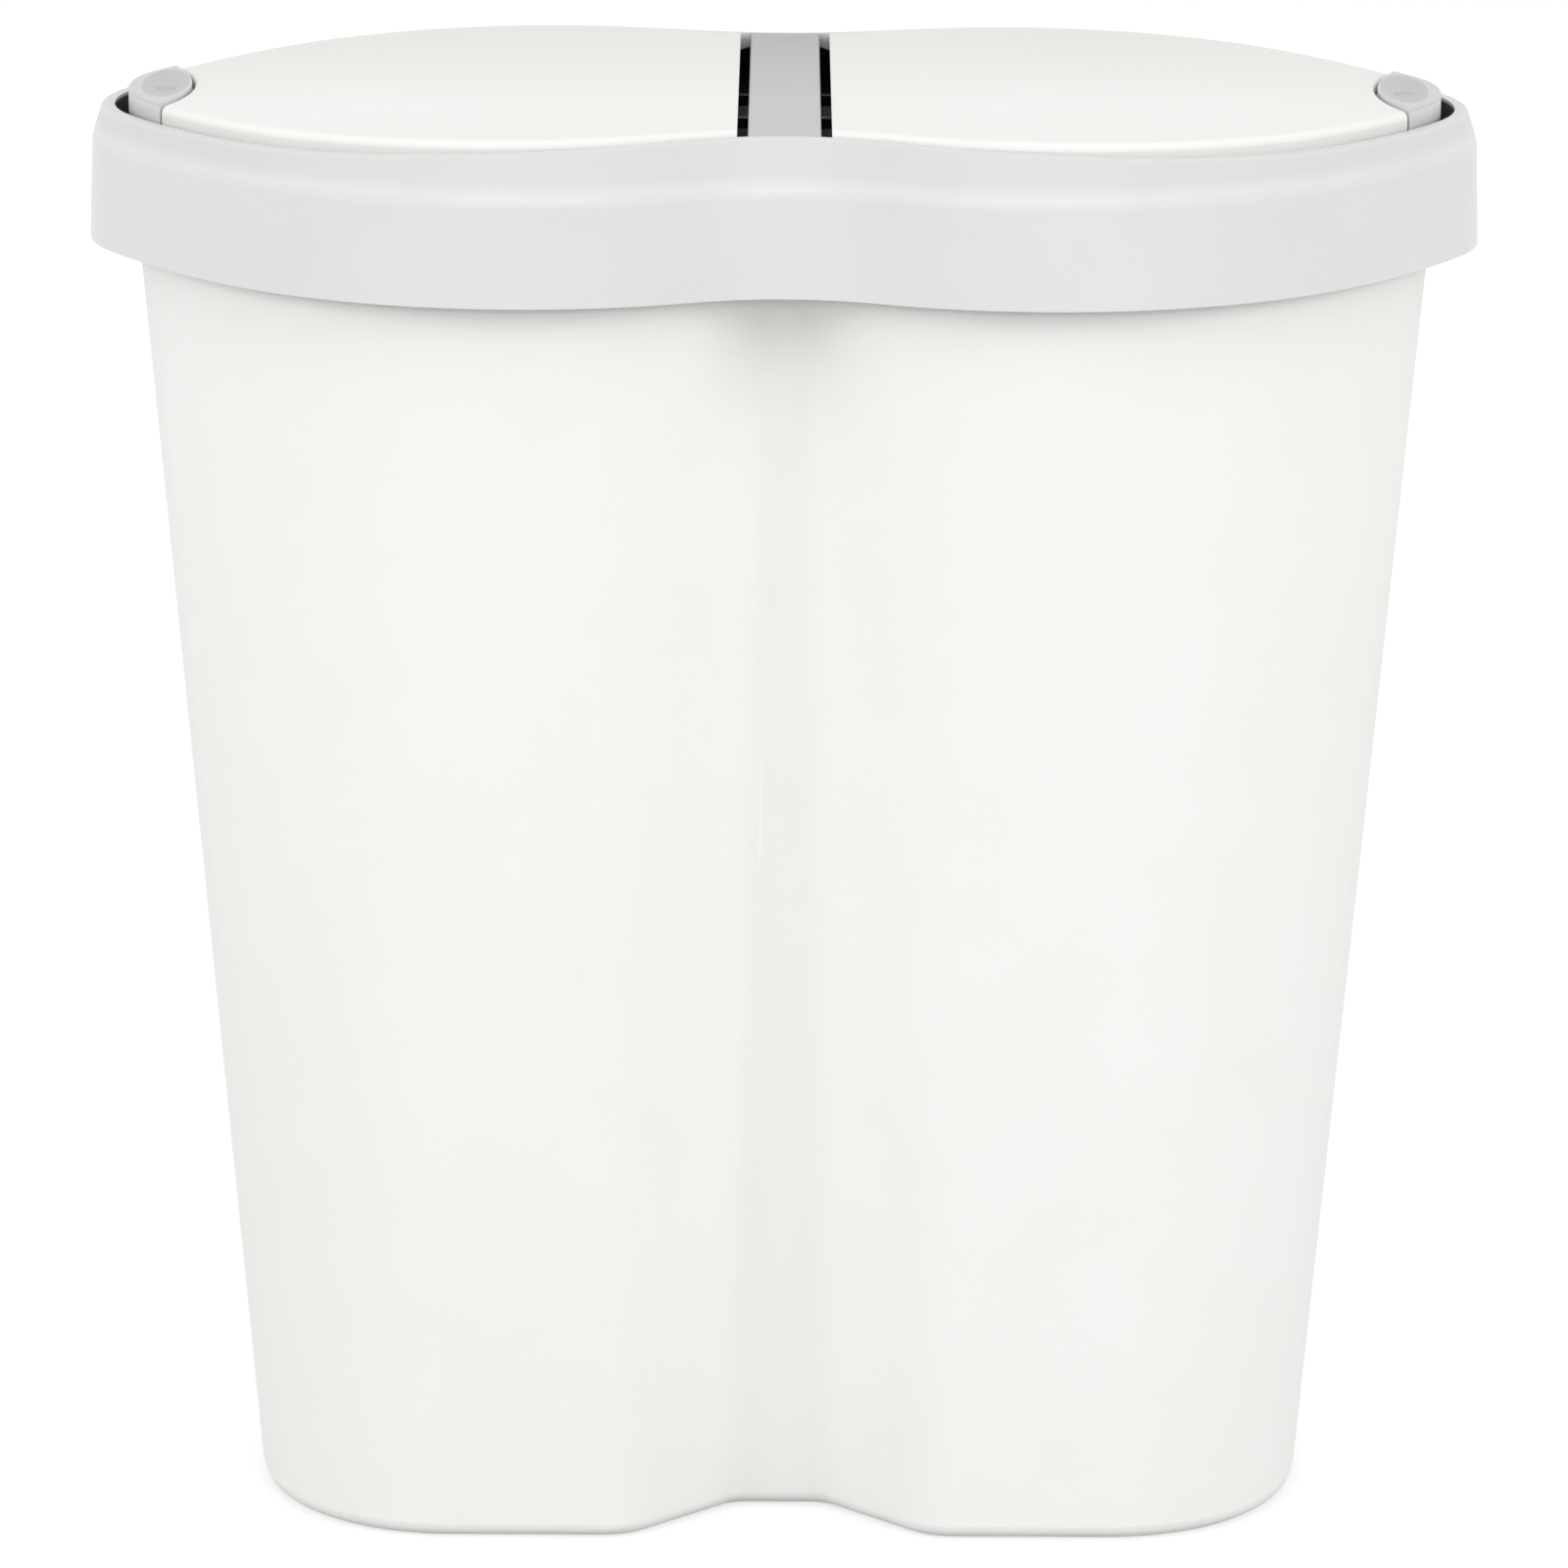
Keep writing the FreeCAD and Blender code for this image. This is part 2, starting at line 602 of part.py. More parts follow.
def make_ear(y):
    """A cross arm under the bar with a post and a round ear for each lid's rod."""
    y0 = y - EAR_T / 2.0
    arm_z = HINGE_Z - EAR_ARM_DROP
    reach = HINGE_X + EAR_POST_W / 2.0
    bar_z = CREST_Z - BAR_H
    pieces = [block(-reach, reach, y0, y0 + EAR_T, arm_z, arm_z + EAR_ARM_T)]
    pieces.append(block(-BAR_HALF, BAR_HALF, y0, y0 + EAR_T, arm_z, bar_z + BAR_WALL))
    for side in (-1, 1):
        x = side * HINGE_X
        half = EAR_POST_W / 2.0
        pieces.append(block(x - half, x + half, y0, y0 + EAR_T, arm_z, HINGE_Z))
        pieces.append(rod_y(x, HINGE_Z, EAR_R, y0, y0 + EAR_T))
    return pieces


# ---- lids -----------------------------------------------------------------------------------

def lid_field(inset, z, height):
    """Right lid's footprint before its notch: the rim's opening less the gap and the bar's side."""
    field = prism(rim_loop(LID_INSET + inset, z), height)
    return field.common(block(LID_INNER_X + inset, BOX, -BOX, BOX, z, z + height))


def notch(inset, z, height):
    return Part.makeCylinder(NOTCH_R + inset, height, V(NOTCH_TIP_X + NOTCH_R, 0, z))


def crown(z, sink):
    """Space under a shallow cylinder that crowns the lids."""
    centre = V(0, -BOX, z - LID_CROWN_R)
    barrel = Part.makeCylinder(LID_CROWN_R - sink, 2.0 * BOX, centre, V(0, 1, 0))
    return barrel.common(block(0, BOX / 2.0, -BOX / 2.0, BOX / 2.0, z - TUB_DROP, z + OVER))


def make_lid():
    z0 = TOP_Z - LID_EDGE_H
    height = LID_EDGE_H + 2.0 * OVER
    outer = lid_field(0.0, z0, height).common(crown(TOP_Z, 0.0))
    top_edges = [e for e in outer.Edges if e.BoundBox.ZMin > TOP_Z - LID_EDGE_H / 2.0]
    outer = outer.makeFillet(LID_EDGE_R, [e for e in top_edges if e.BoundBox.XMax > HINGE_X])
    outer = outer.cut(notch(0.0, z0, height))
    notch_edges = [e for e in outer.Edges if e.Length > NOTCH_R / 2.0 and
                   e.BoundBox.XMin > NOTCH_TIP_X - LID_T and e.BoundBox.ZMin > z0 + LID_T]
    outer = outer.makeFillet(NOTCH_EDGE_R, notch_edges)
    inner = lid_field(LID_T, z0 - OVER, height).common(crown(TOP_Z, LID_T))
    lid = outer.cut(inner.cut(notch(LID_T, z0 - OVER, height)))
    hinge_z = TOP_Z - LID_HINGE_EDGE_H
    lid = lid.cut(block(0, HINGE_X + KNUCKLE_R + KNUCKLE_ROOM, -BOX, BOX, 0, hinge_z))
    pieces = [lid]
    plate_z = TOP_Z - LID_T + LAP
    for y in knuckle_places():
        y0 = y - KNUCKLE_L / 2.0
        pieces.append(rod_y(HINGE_X, HINGE_Z, KNUCKLE_R, y0, y0 + KNUCKLE_L))
        web_x = HINGE_X - KNUCKLE_WEB_IN
        pieces.append(block(web_x, HINGE_X + KNUCKLE_R, y0, y0 + KNUCKLE_L, HINGE_Z, plate_z))
    rib_z = TOP_Z - LID_T - RIB_H
    rib_x0 = HINGE_X + RIB_FROM_HINGE
    rib_x1 = KEEPER_X - RIB_FROM_KEEPER
    for y in RIB_PLACES:
        rib = block(rib_x0, rib_x1, y - RIB_T / 2.0, y + RIB_T / 2.0, rib_z, TOP_Z)
        pieces.append(rib.common(crown(TOP_Z, LID_T / 2.0)))
    lid = fuse(pieces)
    return lid.cut(rod_y(HINGE_X, HINGE_Z, ROD_R + RUN_CLEAR, -BOX, BOX))


def knuckle_places():
    """Knuckles sit right beside the outer two ears."""
    beside = EAR_T / 2.0 + KNUCKLE_GAP + KNUCKLE_L / 2.0
    places = []
    for y in EAR_PLACES:
        places.append(y + beside if y < 0 else y - beside)
    return places


def make_keeper():
    """Strike piece under the lid's far end that the button's nose holds down."""
    top = TOP_Z - LID_T - (KEEPER_X + KEEPER_T) ** 2 / (2.0 * LID_CROWN_R)
    ledge_top = HOOK_Z - LATCH_GAP
    stem = block(KEEPER_X, KEEPER_X + KEEPER_T, -HOOK_HALF_W, HOOK_HALF_W,
                 ledge_top - KEEPER_LEDGE_T, top)
    ledge = block(KEEPER_X, KEEPER_LEDGE_X, -HOOK_HALF_W, HOOK_HALF_W,
                  ledge_top - KEEPER_LEDGE_T, ledge_top)
    foot_y = HOOK_HALF_W + KEEPER_FOOT_SIDE
    foot = block(KEEPER_X - KEEPER_FOOT_IN, KEEPER_X + KEEPER_T, -foot_y, foot_y,
                 top - KEEPER_FOOT_T, top)
    return fuse([stem, ledge, foot])


def make_hinge_rod():
    y_end = max(EAR_PLACES) + EAR_T / 2.0 + ROD_PAST_EAR
    return rod_y(HINGE_X, HINGE_Z, ROD_R, -y_end, y_end)


def coil(radius, wire_r, pitch, turns, base, axis):
    helix = Part.makeHelix(pitch, pitch * turns, radius)
    start = V(radius, 0, 0)
    ring = Part.Wire(Part.makeCircle(wire_r, start, V(0, 1, 0)))
    body = Part.Wire(helix.Edges).makePipeShell([ring], True, True)
    if not isinstance(body, Part.Solid):
        body = Part.makeSolid(body)
    turned = FreeCAD.Rotation(V(0, 0, 1), axis)
    body.Placement = FreeCAD.Placement(base, turned)
    return body


def make_lid_spring():
    length = LID_SPRING_PITCH * LID_SPRING_TURNS
    base = V(HINGE_X, -length / 2.0, HINGE_Z)
    return coil(LID_SPRING_R, LID_SPRING_WIRE_R, LID_SPRING_PITCH, LID_SPRING_TURNS, base, V(0, 1, 0))


def make_buffers():
    """Soft studs on the rim's brackets, where the lids' edges come to rest."""
    pads = []
    y = HALF_DEPTH - LID_INSET - LID_T / 2.0
    for x in (-LOBE_X, LOBE_X):
        for side in (-1, 1):
            pads.append(Part.makeCylinder(BUFFER_R, BUFFER_T, V(x, side * y, REST_Z)))
    return pads


# ---- release button -------------------------------------------------------------------------

def button_plan(inset, z, height):
    field = prism(rim_loop(LID_INSET + inset, z), height)
    centre = V(NOTCH_TIP_X + BUTTON_GAP + NOTCH_R, 0, z)
    return field.common(Part.makeCylinder(NOTCH_R - inset, height, centre))


def make_dish():
    """Spindle that cuts the eye-shaped dish: an arc along Y turned about a line above the button."""
    line = (DISH_HALF_W ** 2 - BUTTON_SINK ** 2) / (2.0 * BUTTON_SINK)
    x = PIN_X - DISH_IN
    axis_z = BUTTON_TOP_Z + line
    end_z = axis_z - line
    ends = [V(x, -DISH_HALF_L, end_z), V(x, DISH_HALF_L, end_z)]
    arc = Part.Arc(ends[0], V(x, 0, end_z - BUTTON_SINK), ends[1]).toShape()
    axis = [V(x, DISH_HALF_L, axis_z), V(x, -DISH_HALF_L, axis_z)]
    wire = Part.Wire([
        arc,
        Part.LineSegment(ends[1], axis[0]).toShape(),
        Part.LineSegment(axis[0], axis[1]).toShape(),
        Part.LineSegment(axis[1], ends[0]).toShape(),
    ])
    return Part.Face(wire).revolve(axis[1], V(0, 1, 0), 360.0)


def make_button():
    z0 = BUTTON_BOTTOM_Z
    cap = button_plan(0.0, z0, BUTTON_H)
    cap = cap.makeFillet(BUTTON_EDGE_R, edges_near_z(cap, BUTTON_TOP_Z))
    room = button_plan(BUTTON_WALL, z0 - OVER, BUTTON_H - BUTTON_WALL - BUTTON_SINK + OVER)
    cap = cap.cut(room).cut(make_dish())
    pieces = [cap]
    rib_z0 = PIN_Z - BUTTON_RIB_DOWN
    rib_z1 = BUTTON_TOP_Z - BUTTON_RIB_UNDER
    for side in (-1, 1):
        y0 = side * BUTTON_RIB_Y - BUTTON_RIB_T / 2.0
        rib = block(PIN_X - BUTTON_RIB_IN, PIN_X + BUTTON_RIB_OUT, y0, y0 + BUTTON_RIB_T, rib_z0, rib_z1)
        pieces.append(rib)
    nose_z = HOOK_Z + HOOK_NOSE_T
    arm_top = BUTTON_TOP_Z - BUTTON_SINK - BUTTON_WALL + ARM_LAP
    arm = block(HOOK_X, HOOK_X + HOOK_T, -HOOK_HALF_W, HOOK_HALF_W, HOOK_Z, arm_top)
    nose = block(HOOK_X - HOOK_NOSE, HOOK_X + LAP, -HOOK_HALF_W, HOOK_HALF_W, HOOK_Z, nose_z)
    pieces += [arm, nose]
    button = fuse(pieces)
    pin_y = BUTTON_RIB_Y + BUTTON_RIB_T
    return button.cut(rod_y(PIN_X, PIN_Z, PIN_R, -pin_y, pin_y))


def make_button_pin():
    end = BUTTON_RIB_Y + BUTTON_RIB_T / 2.0
    return rod_y(PIN_X, PIN_Z, PIN_R, -end, end)


def make_button_spring():
    z0 = LUG_TOP_Z + COIL_WIRE_R + SEAT_GAP
    z1 = BUTTON_TOP_Z - BUTTON_SINK - BUTTON_WALL - COIL_WIRE_R - SEAT_GAP
    return coil(COIL_R, COIL_WIRE_R, (z1 - z0) / COIL_TURNS, COIL_TURNS, V(COIL_X, 0, z0), V(0, 0, 1))


def make_bar_screws():
    screws = []
    for side in (-1, 1):
        y = side * (BAR_END_Y - SCREW_FROM_END)
        z = CREST_Z - BAR_H - SEAT_GAP - BAR_SHELF_T
        shank = Part.makeCylinder(SCREW_R, SCREW_L, V(0, y, z - LAP))
        head = Part.makeCylinder(SCREW_HEAD_R, SCREW_HEAD_T, V(0, y, z - SCREW_HEAD_T))
        head_z = z - SCREW_HEAD_T
        slot = block(-SCREW_SLOT_HALF_L, SCREW_SLOT_HALF_L, y - SCREW_SLOT_HALF_W,
                     y + SCREW_SLOT_HALF_W, head_z, head_z + SCREW_SLOT_DEPTH)
        screws.append(head.fuse(shank).cut(slot).removeSplitter())
    return screws


# ---- write the parts ------------------------------------------------------------------------

def save(name, shape):
    shape.exportStep("parts/%s.step" % name)
    box = shape.BoundBox
    print("%-24s solids %d valid %s vol %.1f  x %.1f..%.1f y %.1f..%.1f z %.1f..%.1f" % (
        name, len(shape.Solids), shape.isValid(), shape.Volume,
        box.XMin, box.XMax, box.YMin, box.YMax, box.ZMin, box.ZMax))


def save_pair(name, shape):
    save(name + "_right", shape)
    save(name + "_left", mirrored(shape))


def main():
    os.makedirs("parts", exist_ok=True)
    tub = fuse([make_tub()] + make_guides())
    save("bin_tub", tub)
    save("divider_panel", make_divider())
    save("rim_frame", make_rim_frame())
    save("hinge_bar", make_hinge_bar())
    save("hinge_bar_screws", Part.makeCompound(make_bar_screws()))
    save("lid_buffers", Part.makeCompound(make_buffers()))
    save_pair("lid", make_lid())
    save_pair("lid_keeper", make_keeper())
    save_pair("lid_hinge_rod", make_hinge_rod())
    save_pair("lid_spring", make_lid_spring())
    save_pair("release_button", make_button())
    save_pair("button_pivot_pin", make_button_pin())
    save_pair("button_spring", make_button_spring())


main()
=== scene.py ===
import json
import math

import bmesh
import bpy
from mathutils import Matrix, Vector


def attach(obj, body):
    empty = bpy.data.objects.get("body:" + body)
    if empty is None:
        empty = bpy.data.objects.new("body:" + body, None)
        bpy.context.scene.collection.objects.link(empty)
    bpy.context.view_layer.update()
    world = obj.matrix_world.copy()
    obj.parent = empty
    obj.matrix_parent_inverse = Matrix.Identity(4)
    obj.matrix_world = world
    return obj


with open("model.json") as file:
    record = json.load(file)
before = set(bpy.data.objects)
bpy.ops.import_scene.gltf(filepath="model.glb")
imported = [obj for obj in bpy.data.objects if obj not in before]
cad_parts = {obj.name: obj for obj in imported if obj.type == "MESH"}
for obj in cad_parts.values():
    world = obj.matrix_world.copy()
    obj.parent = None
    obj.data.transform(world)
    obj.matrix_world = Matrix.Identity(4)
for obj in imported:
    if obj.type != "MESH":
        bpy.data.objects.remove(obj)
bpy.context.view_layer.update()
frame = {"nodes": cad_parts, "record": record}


# ---- shader values --------------------------------------------------------------------------

class Val:
    """A shader value. Python's own operators on it add the Math nodes."""

    def __init__(self, tree, socket=None):
        self.tree = tree
        self.socket = socket

    def node(self, kind, inputs=(), out=0, **settings):
        """Adds a node of any kind: its settings first, then the values or links of its inputs."""
        made = self.tree.nodes.new(kind)
        for key, value in settings.items():
            setattr(made, key, value)
        pairs = inputs.items() if isinstance(inputs, dict) else enumerate(inputs)
        for key, value in pairs:
            if isinstance(value, Val):
                self.tree.links.new(value.socket, made.inputs[key])
            else:
                made.inputs[key].default_value = value
        return Val(self.tree, made.outputs[out])

    def maths(self, operation, *values):
        return self.node("ShaderNodeMath", values, operation=operation)

    def __add__(self, other):
        return self.maths("ADD", self, other)

    def __sub__(self, other):
        return self.maths("SUBTRACT", self, other)

    def __mul__(self, other):
        return self.maths("MULTIPLY", self, other)

    def __truediv__(self, other):
        return self.maths("DIVIDE", self, other)

    def __radd__(self, other):
        return self.maths("ADD", other, self)

    def __rsub__(self, other):
        return self.maths("SUBTRACT", other, self)

    def __rmul__(self, other):
        return self.maths("MULTIPLY", other, self)

    def __rtruediv__(self, other):
        return self.maths("DIVIDE", other, self)

    def clamp(self, low, high):
        """Maps low..high to 0..1 and holds it there. A low above high turns it round."""
        return self.node("ShaderNodeMapRange", [self, low, high])


def feed(shader, name, value):
    value.tree.links.new(value.socket, shader.inputs[name])


def size_of(value):
    return value.maths("ABSOLUTE", value)


def larger(a, b):
    return a.maths("MAXIMUM", a, b)


def axes(place):
    """The x, y and z of a place."""
    return [place.node("ShaderNodeSeparateXYZ", [place], out=axis) for axis in "XYZ"]


def noise(place, scale, detail=2.0, roughness=0.5):
    return place.node("ShaderNodeTexNoise", {"Vector": place, "Scale": scale, "Detail": detail,
                                             "Roughness": roughness}, out="Fac")


def stretch(place, scale):
    return place.node("ShaderNodeMapping", {"Vector": place, "Scale": scale})


def bumps(height, strength, depth):
    return height.node("ShaderNodeBump", {"Strength": strength, "Distance": depth,
                                          "Height": height}, out="Normal")


def mix(share, a, b):
    """Blends two colours, from a at share 0 to b at share 1."""
    first, second, result = 6, 7, 2     # the colour sockets of the Mix node
    return share.node("ShaderNodeMix", {"Factor": share, first: a, second: b}, out=result,
                      data_type="RGBA")


def linear(r, g, b):
    """A colour as it looks on screen, in shader units."""
    def one(c):
        c = c / 255.0
        return c / 12.92 if c <= 0.04045 else ((c + 0.055) / 1.055) ** 2.4
    return (one(r), one(g), one(b), 1.0)


def grey(level):
    """A neutral colour in shader units."""
    return (level, level, level, 1.0)


# ---- zones of painted shade and light on the plastics ---------------------------------------
# A zone function gives the share of its colour at a place, from 0 to 1.

WAIST_X = 0.0295            # hinge recess in the rim, painted as shade: how far it reaches from the middle
WAIST_Y = 0.1166            # the same to the front and back
WAIST_TOP = 0.55315
WAIST_TOP_BLEND = 0.0013
RIM_LEAN = 0.4545           # the rim's outer wall leans in by this for each rise
RIM_WALL = 0.3600           # that wall: y + lean * z
SKIN_BLEND = 0.0004         # soft edge close to the rim's outer wall
NOSE_X = 0.1945             # centre of the round at each end of the rim
NOSE_GAP_R = 0.0609         # the gap behind a button, painted dark as shade, seen from that centre
NOSE_GAP_R_BLEND = 0.0006
NOSE_GAP_X = 0.2370
NOSE_GAP_X_BLEND = 0.0020
NOSE_GAP_TOP = 0.5457
BUTTON_EDGE_Z = 0.5518      # painted light below a button's rounded top edge
BAR_EDGE_Z = 0.5529         # painted shade below the top face of the hinge bar
BACK_SHADE_SPAN = (-0.05, 0.13)   # painted shade on lids and bar grows between these, from front to back
SHOULDER_Z = 0.5395         # the rim's ridge; the shoulder above it is painted as shade
SHOULDER_BLEND = 0.0050
DISH_X = 0.2355             # middle of the dished press face of a button
DISH_HALF = (0.009, 0.029)
DISH_BLEND = 0.06           # share of the dish that is its soft edge
DISH_FLOOR_Z = 0.5505


def above(value, level, blend=0.001):
    return value.clamp(level - blend / 2.0, level + blend / 2.0)


def below(value, level, blend=0.001):
    return value.clamp(level + blend / 2.0, level - blend / 2.0)


def hinge_recess_painted_shade(place):
    """Painted shade: the rim's inner faces at the waist, in the deep recess beside the hinge bar,
    painted near black.
    """
    x, y, z = axes(place)
    inside_wall = below(size_of(y) + z * RIM_LEAN, RIM_WALL, SKIN_BLEND)
    inside_waist = below(size_of(y), WAIST_Y, SKIN_BLEND)
    under_top = below(z, WAIST_TOP, WAIST_TOP_BLEND)
    return below(size_of(x), WAIST_X) * inside_wall * inside_waist * under_top


def nose_gap_painted_shade(place):
    """Painted shade: the rim's inner faces at its ends, in the gap behind each button, painted
    dark.
    """
    x, y, z = axes(place)
    out = size_of(x) - NOSE_X
    from_nose = place.maths("SQRT", out * out + y * y)
    in_gap = below(from_nose, NOSE_GAP_R, NOSE_GAP_R_BLEND)
    at_end = above(size_of(x), NOSE_GAP_X, NOSE_GAP_X_BLEND)
    return in_gap * at_end * below(z, NOSE_GAP_TOP)


def shoulder_painted_shade(place):
    """Painted shade: the rim's sloping shoulder, above the ridge, painted darker than the skirt.
    """
    return above(axes(place)[2], SHOULDER_Z, SHOULDER_BLEND)


# Painted light: a button's outer wall, painted lighter than its top.
def button_wall_painted_light(place):
    return below(axes(place)[2], BUTTON_EDGE_Z)


def press_face_painted_shade(place):
    """Painted shade: the eye-shaped dish in a button's top, painted darker than the rest of the
    top.
    """
    x, y, z = axes(place)
    across = (size_of(x) - DISH_X) / DISH_HALF[0]
    along = y / DISH_HALF[1]
    inside = (1.0 - across * across - along * along).clamp(0.0, DISH_BLEND)
    return inside * above(z, DISH_FLOOR_Z)


def bar_sides_painted_shade(place):
    """Painted shade: ears and sides of the hinge bar below its top face, painted near black."""
    return below(axes(place)[2], BAR_EDGE_Z)


# Painted shade: lids and bar are painted darker from front to back.
def painted_shade_towards_back(place):
    return axes(place)[1].clamp(*BACK_SHADE_SPAN)


# ---- materials ------------------------------------------------------------------------------

PLASTIC_IOR = 1.49
FLOW_STRETCH = (1.0, 1.0, 0.35)     # flow marks run up the walls
DRAW_STRETCH = (1.0, 0.06, 1.0)     # the rods' fine lines run along y


def start_material(name):
    """A new node material: (material, principled shader node, Object coordinates)."""
    made = bpy.data.materials.new(name)
    made.use_nodes = True
    tree = made.node_tree
    return made, tree.nodes["Principled BSDF"], Val(tree).node("ShaderNodeTexCoord", out="Object")


def moulded_plastic(name, colour, shade, rough=0.42, zones=()):
    """Satin moulded polypropylene: fine spark-eroded grain, faint flow marks and scuffs.

    Each zone is a colour and the function that gives its share of the surface; here the zones
    paint shade and light."""
    made, shader, place = start_material(name)
    stretched = stretch(place, FLOW_STRETCH)
    flow = noise(stretched, scale=6.0, detail=3.0)
    cloud = noise(place, scale=28.0)
    fine = noise(place, scale=900.0, roughness=0.6)
    coarse = noise(place, scale=243.0)
    scuff = noise(stretched, scale=160.0, detail=4.0, roughness=0.7).clamp(0.62, 0.78)
    tone = (flow * 0.65 + cloud * 0.35).clamp(0.35, 0.65)
    base = mix(tone, linear(*shade), linear(*colour))
    for zone_colour, share in zones:
        base = mix(share(place), base, linear(*zone_colour))
    feed(shader, "Base Color", base)
    feed(shader, "Roughness", (fine - 0.5) * 0.10 + (cloud - 0.5) * 0.08 + scuff * 0.06 + rough)
    feed(shader, "Normal", bumps(fine * 0.8 + coarse * 0.6, strength=0.55, depth=0.00003))
    shader.inputs["IOR"].default_value = PLASTIC_IOR
    return made


def drawn_steel(name):
    """Bright drawn wire and rod, with fine lines along the draw."""
    made, shader, place = start_material(name)
    lines = noise(stretch(place, DRAW_STRETCH), scale=3000.0, detail=3.0, roughness=0.6)
    spots = noise(place, scale=300.0, detail=3.0)
    feed(shader, "Base Color", mix(spots, linear(150, 151, 154), linear(190, 190, 192)))
    feed(shader, "Roughness", lines * 0.25 + 0.22)
    shader.inputs["Metallic"].default_value = 1.0
    feed(shader, "Normal", bumps(lines, strength=0.3, depth=0.00002))
    return made


def soft_rubber(name):
    made, shader, place = start_material(name)
    dust = noise(place, scale=900.0, detail=3.0, roughness=0.6)
    feed(shader, "Base Color", mix(dust, linear(38, 38, 38), linear(62, 61, 60)))
    feed(shader, "Roughness", dust * 0.2 + 0.65)
    feed(shader, "Normal", bumps(dust, strength=0.4, depth=0.00004))
    return made


TUB_WHITE = moulded_plastic(
    "white_tub_plastic", (247, 246, 244), (244, 243, 240), rough=0.5)
# The lids carry painted shade, darker towards the back.
LID_WHITE = moulded_plastic(
    "white_lid_plastic", (239, 238, 236), (236, 235, 232),
    zones=[((225, 222, 218), painted_shade_towards_back)])
# The rim's zones are painted shade: a darker shoulder, a near-black hinge recess and dark gaps
# behind the buttons.
RIM_GREY = moulded_plastic(
    "light_grey_rim_plastic", (223, 223, 223), (219, 219, 219), rough=0.30,
    zones=[((212, 212, 212), shoulder_painted_shade), ((10, 10, 10), hinge_recess_painted_shade), ((45, 45, 45), nose_gap_painted_shade)])
MID_GREY = moulded_plastic(
    "mid_grey_plastic", (199, 199, 200), (193, 193, 194))
# The bar carries painted shade: darker towards the back, near black on its ears and sides.
BAR_GREY = moulded_plastic(
    "mid_grey_bar_plastic", (192, 192, 193), (187, 187, 188),
    zones=[((164, 164, 165), painted_shade_towards_back), ((10, 10, 10), bar_sides_painted_shade)])
# The buttons carry painted light on their outer walls and painted shade in their dished press
# faces.
BUTTON_GREY = moulded_plastic(
    "mid_grey_button_plastic", (205, 205, 206), (200, 200, 201),
    zones=[((219, 219, 219), button_wall_painted_light), ((186, 186, 187), press_face_painted_shade)])
STEEL = drawn_steel("drawn_steel")
RUBBER = soft_rubber("soft_rubber")

SLOT_FINISHES = {
    "white_plastic": TUB_WHITE,
    "light_grey_plastic": RIM_GREY,
    "grey_plastic": MID_GREY,
    "steel": STEEL,
    "soft_rubber": RUBBER,
}

OWN_FINISHES = {
    "lid_left": LID_WHITE,
    "lid_right": LID_WHITE,
    "hinge_bar": BAR_GREY,
    "release_button_left": BUTTON_GREY,
    "release_button_right": BUTTON_GREY,
}


def dress_nodes():
    """Gives every CAD node its own finish, or else that of its slot."""
    for entry in frame["record"]["subparts"]:
        node = frame["nodes"][entry["node"]]
        finish = OWN_FINISHES.get(entry["node"], SLOT_FINISHES[entry["material_slot"]])
        node.data.materials.clear()
        node.data.materials.append(finish)


# ---- press marks ----------------------------------------------------------------------------

BUTTON_TOP = 0.5536
DISH_SINK = 0.0022
MARK_R = 0.0036             # plain raised ring in the middle of each press face
MARK_TUBE = 0.00032
MARK_SEGMENTS = 12
MARK_STEPS = 48


def dish_height(dx, y):
    """Height of the dish's floor beside its middle."""
    half_w, half_l = DISH_HALF
    line = (half_w ** 2 - DISH_SINK ** 2) / (2.0 * DISH_SINK)
    arc = (half_l ** 2 + DISH_SINK ** 2) / (2.0 * DISH_SINK)
    depth = DISH_SINK - (arc - math.sqrt(arc ** 2 - y ** 2))
    return BUTTON_TOP + line - math.sqrt((line + depth) ** 2 - dx ** 2)


def make_press_mark(side, sign):
    """A fine ring that follows the dish; it turns with its button."""
    bm = bmesh.new()
    upright = Matrix.Translation((MARK_R, 0.0, 0.0)) @ Matrix.Rotation(math.radians(90.0), 4, "X")
    bmesh.ops.create_circle(bm, segments=MARK_SEGMENTS, radius=MARK_TUBE, matrix=upright)
    bmesh.ops.spin(bm, geom=list(bm.edges), cent=(0.0, 0.0, 0.0), axis=(0.0, 0.0, 1.0),
                   angle=2.0 * math.pi, steps=MARK_STEPS, use_merge=True)
    for vert in bm.verts:
        dx, dy, dz = vert.co
        vert.co = (sign * (DISH_X + dx), dy, dish_height(dx, dy) + dz)
    bmesh.ops.recalc_face_normals(bm, faces=bm.faces)
    mesh = bpy.data.meshes.new("press_mark_" + side)
    bm.to_mesh(mesh)
    bm.free()
    for face in mesh.polygons:
        face.use_smooth = True
    mark = bpy.data.objects.new("press_mark_" + side, mesh)
    bpy.context.scene.collection.objects.link(mark)
    mark.data.materials.append(BUTTON_GREY)
    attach(mark, "button_" + side)


# ---- camera, light and floor ----------------------------------------------------------------

PHOTO_SIDE = 1600.0
CAMERA_AWAY = 2.800         # in front of the bin's centre
CAMERA_HEIGHT = 1.062
CAMERA_PITCH = 15.645       # degrees down
CAMERA_ROLL = 0.27
CAMERA_SHIFT = 2.5          # the photo's middle, in its pixels
CAMERA_NEAR = 0.05
CAMERA_FAR = 50.0
FOCAL_PIXELS = 7601.8
SENSOR = 36.0
AMBIENT = 0.84              # light of the white surroundings on the bin
WHITE_LIGHT = 1.0           # the surroundings as the camera and mirrors see them
FLOOR_HALF = 12.0
FLOOR_TONES = (0.41, 0.43)
FLOOR_GLOW = 0.59           # lifts the floor to white where it is seen, shadow kept

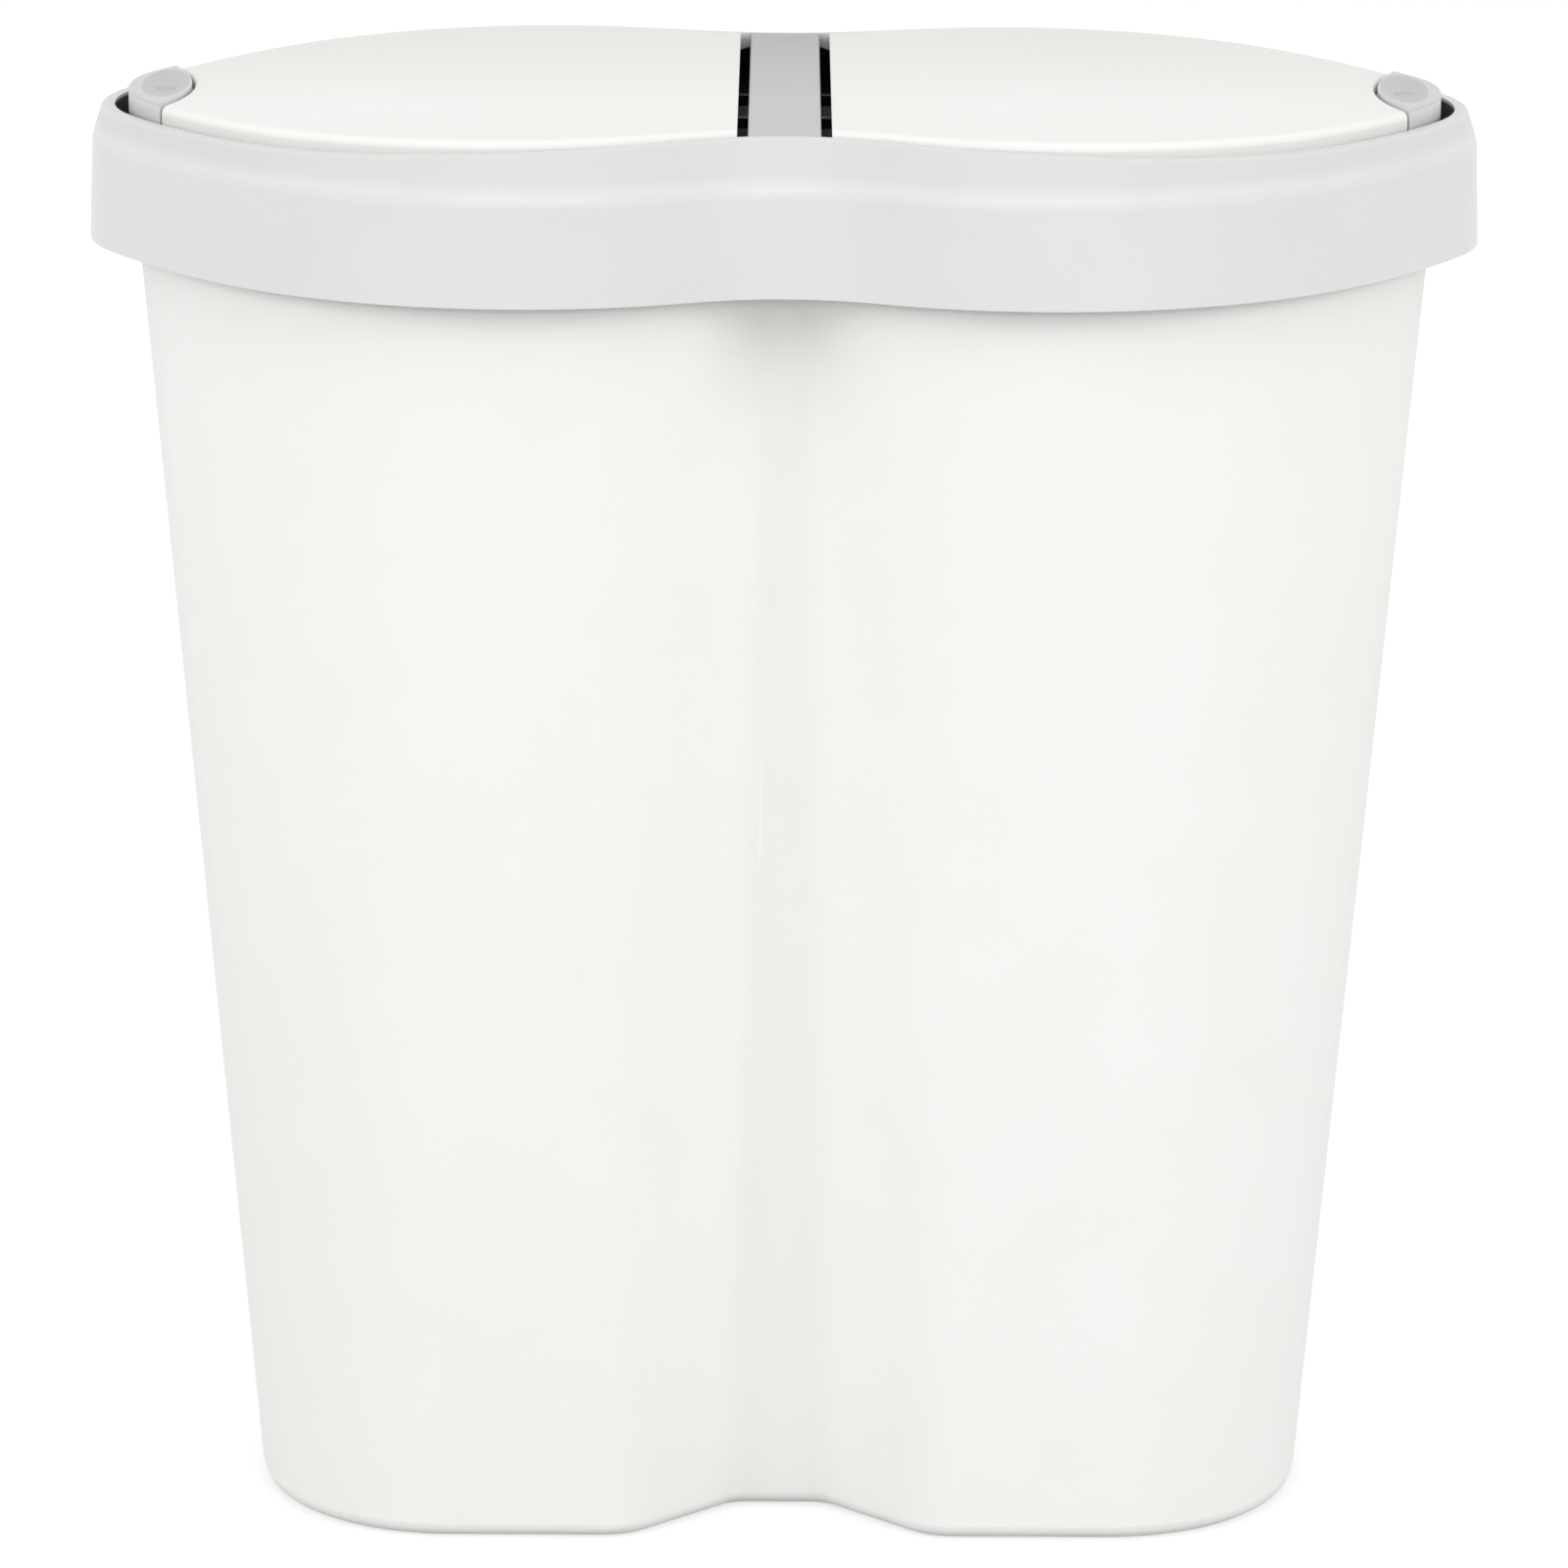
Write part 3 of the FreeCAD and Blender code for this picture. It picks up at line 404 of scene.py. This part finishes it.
LAMPS = (                   # name, place, target, size, power, seen in mirrors
    ("front_left", (-2.56, -1.76, 1.50), (0.0, 0.0, 0.3), (1.6, 0.9), 26.5, False),
    ("front_right", (2.56, -1.76, 1.50), (0.0, 0.0, 0.3), (1.6, 0.9), 27.5, False),
    ("back", (0.0, 3.2, 1.10), (0.0, 0.0, 0.3), (2.4, 0.8), 14.5, False),
    ("front_middle", (0.0, -3.1, 1.34), (0.0, 0.0, 0.5), (2.6, 0.25), 12.5, True),
)


def make_camera():
    data = bpy.data.cameras.new("camera")
    data.sensor_width = SENSOR
    data.lens = FOCAL_PIXELS / PHOTO_SIDE * SENSOR
    data.clip_start = CAMERA_NEAR
    data.clip_end = CAMERA_FAR
    data.shift_x = CAMERA_SHIFT / PHOTO_SIDE
    camera = bpy.data.objects.new("camera", data)
    look = Matrix.Rotation(math.radians(90.0 - CAMERA_PITCH), 4, "X")
    roll = Matrix.Rotation(math.radians(CAMERA_ROLL), 4, "Z")
    camera.matrix_world = Matrix.Translation((0.0, -CAMERA_AWAY, CAMERA_HEIGHT)) @ look @ roll
    bpy.context.scene.collection.objects.link(camera)
    bpy.context.scene.camera = camera


def soft_lamp(name, place, target, size, power, mirrored):
    data = bpy.data.lights.new(name, "AREA")
    data.shape = "RECTANGLE"
    data.size, data.size_y = size
    data.energy = power
    lamp = bpy.data.objects.new(name, data)
    lamp.visible_glossy = mirrored
    lamp.location = place
    lamp.rotation_euler = (Vector(target) - Vector(place)).to_track_quat("-Z", "Y").to_euler()
    bpy.context.scene.collection.objects.link(lamp)


def backdrop_ray(tree):
    """1 for a ray from the camera, a mirror or clear material, else 0."""
    camera, glossy, clear = [Val(tree).node("ShaderNodeLightPath", out="Is %s Ray" % kind)
                             for kind in ("Camera", "Glossy", "Transmission")]
    return larger(camera, larger(glossy, clear))


def make_world():
    world = bpy.data.worlds.new("studio")
    bpy.context.scene.world = world
    world.use_nodes = True
    tree = world.node_tree
    background = tree.nodes["Background"]
    feed(background, "Strength", backdrop_ray(tree) * (WHITE_LIGHT - AMBIENT) + AMBIENT)
    background.inputs["Color"].default_value = grey(1.0)


def make_floor():
    """Plain pale floor that keeps the bin's soft shadow; it is white to the camera."""
    mesh = bpy.data.meshes.new("floor")
    bm = bmesh.new()
    bmesh.ops.create_grid(bm, x_segments=1, y_segments=1, size=FLOOR_HALF)
    bm.to_mesh(mesh)
    bm.free()
    floor = bpy.data.objects.new("floor", mesh)
    bpy.context.scene.collection.objects.link(floor)
    made, shader, place = start_material("pale_floor")
    grain = noise(place, scale=40.0, detail=3.0)
    dark, light = FLOOR_TONES
    feed(shader, "Base Color", mix(grain, grey(dark), grey(light)))
    feed(shader, "Roughness", grain * 0.1 + 0.85)
    feed(shader, "Emission Color", mix(backdrop_ray(place.tree), grey(0.0), grey(FLOOR_GLOW)))
    shader.inputs["Emission Strength"].default_value = 1.0
    floor.data.materials.append(made)


# ---- build ----------------------------------------------------------------------------------

bpy.context.scene.view_settings.view_transform = "Standard"
make_camera()
make_world()
make_floor()
for lamp in LAMPS:
    soft_lamp(*lamp)
dress_nodes()
make_press_mark("right", 1)
make_press_mark("left", -1)
